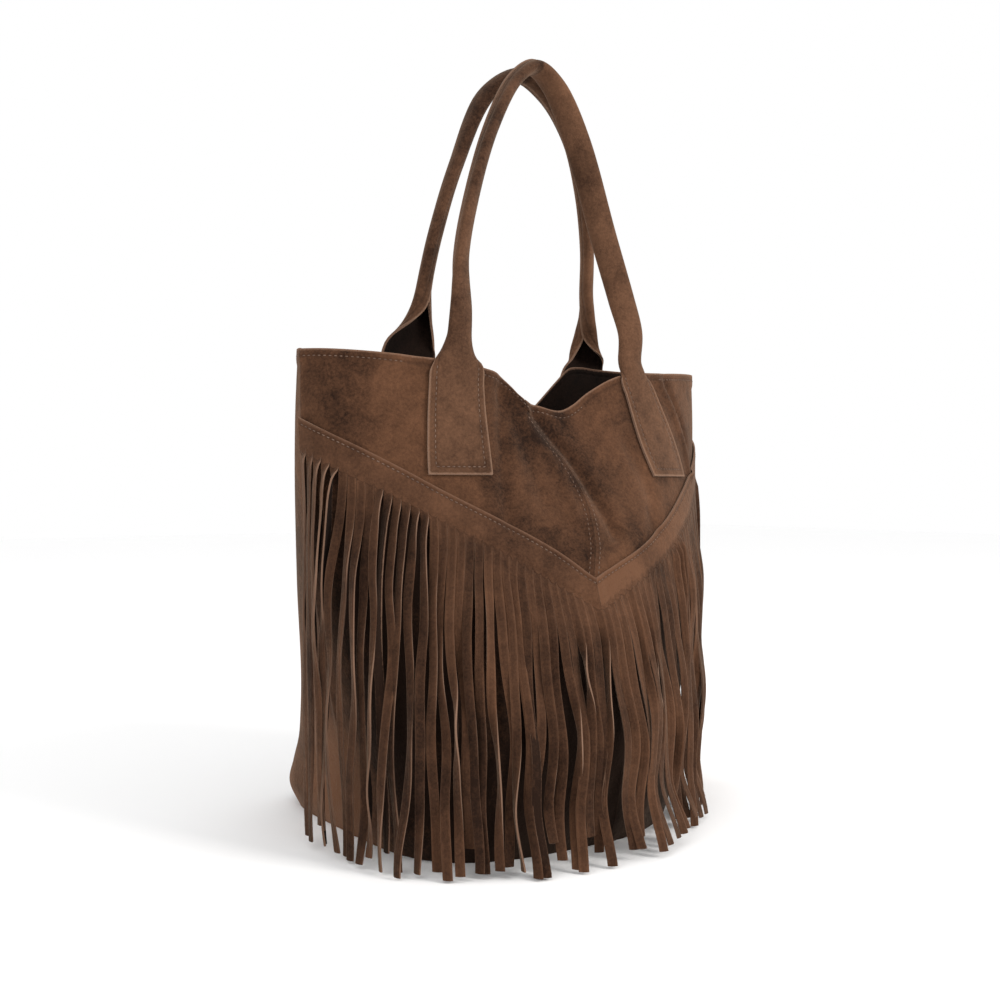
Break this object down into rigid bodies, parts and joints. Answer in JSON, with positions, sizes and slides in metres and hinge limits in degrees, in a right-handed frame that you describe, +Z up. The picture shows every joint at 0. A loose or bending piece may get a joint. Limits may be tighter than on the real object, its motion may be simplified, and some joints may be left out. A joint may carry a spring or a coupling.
{
  "type": "fringed suede bag",
  "caption": "Soft suede shopper, open at the top, with two rolled shoulder handles and a V-shaped curtain of cut fringe on the front.",
  "frame": {"origin": "middle of the flat base, on the surface the bag stands on", "axes": "+Z up, X along the mouth of the bag, -Y towards the fringed front"},
  "size_m": [0.4083, 0.3332, 0.6323],
  "materials": {
    "body_suede": "brushed brown suede, matte",
    "fringe_suede": "thin brown suede, matte, raw cut edges",
    "handle_suede": "brown suede, matte, a little lighter",
    "stitch_thread": "waxed brown thread"
  },
  "bodies": {
    "root": {"front_panel_left": "body_suede", "front_panel_right": "body_suede", "back_panel_left": "body_suede", "back_panel_right": "body_suede", "base_panel": "body_suede", "front_fringe_left": "fringe_suede", "front_fringe_right": "fringe_suede", "front_handle": "handle_suede", "rear_handle": "handle_suede"}
  },
  "joints": []
}
